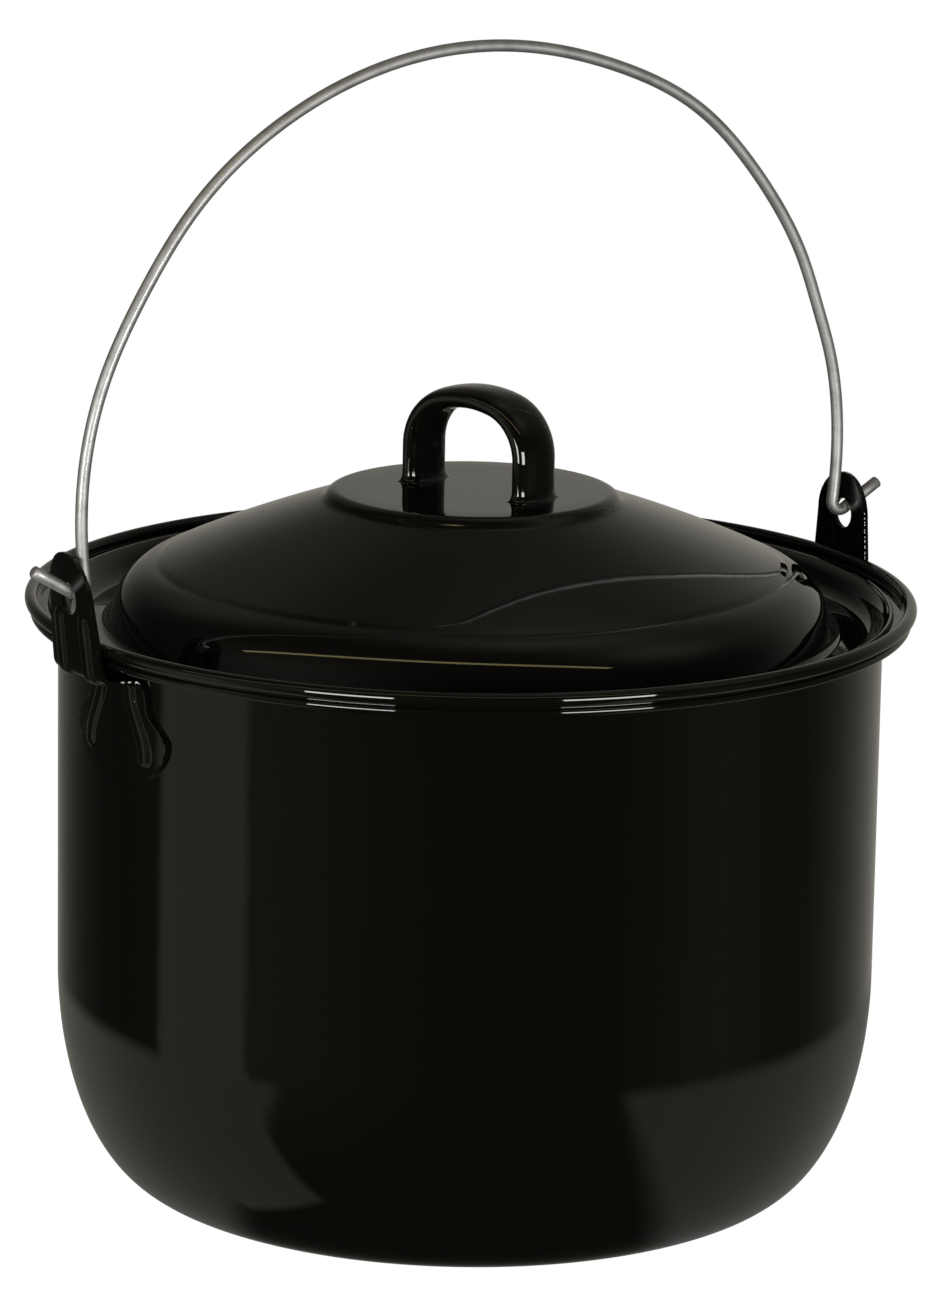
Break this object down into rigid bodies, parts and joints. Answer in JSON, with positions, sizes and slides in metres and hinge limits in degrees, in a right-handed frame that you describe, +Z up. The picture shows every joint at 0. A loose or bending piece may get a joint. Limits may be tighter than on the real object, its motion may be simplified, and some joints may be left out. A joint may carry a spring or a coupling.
{
  "type": "lidded cooking pot with bail",
  "caption": "Black enamelled round cooking pot with a rolled rim, pierced ears, a hooked wire bail and a recessed domed lid with a loop handle.",
  "frame": {"origin": "middle of the base, on the surface the pot stands on", "axes": "+Z up along the pot's axis; +X from the left ear to the right ear, along the bail's pivot line; +Y away from the side seen in the picture"},
  "size_m": [0.3202, 0.29, 0.3759],
  "materials": {
    "enamel": "gloss",
    "lid_enamel": "gloss",
    "wire": "galvanised"
  },
  "bodies": {
    "pot": {"pot_shell": "enamel", "left_ear": "enamel", "right_ear": "enamel"},
    "bail": {"bail_wire": "wire"},
    "lid": {"lid_shell": "lid_enamel", "lid_handle": "lid_enamel"}
  },
  "joints": [
    {"name": "bail_swing", "type": "hinge", "parent": "pot", "child": "bail", "pos_m": [0, 0, 0.2102], "axis": [1, 0, 0], "range_deg": [-108, 108]},
    {"name": "lid_lift", "type": "slide", "parent": "pot", "child": "lid", "axis": [0, 0, 1], "range_m": [0, 0.06]}
  ]
}
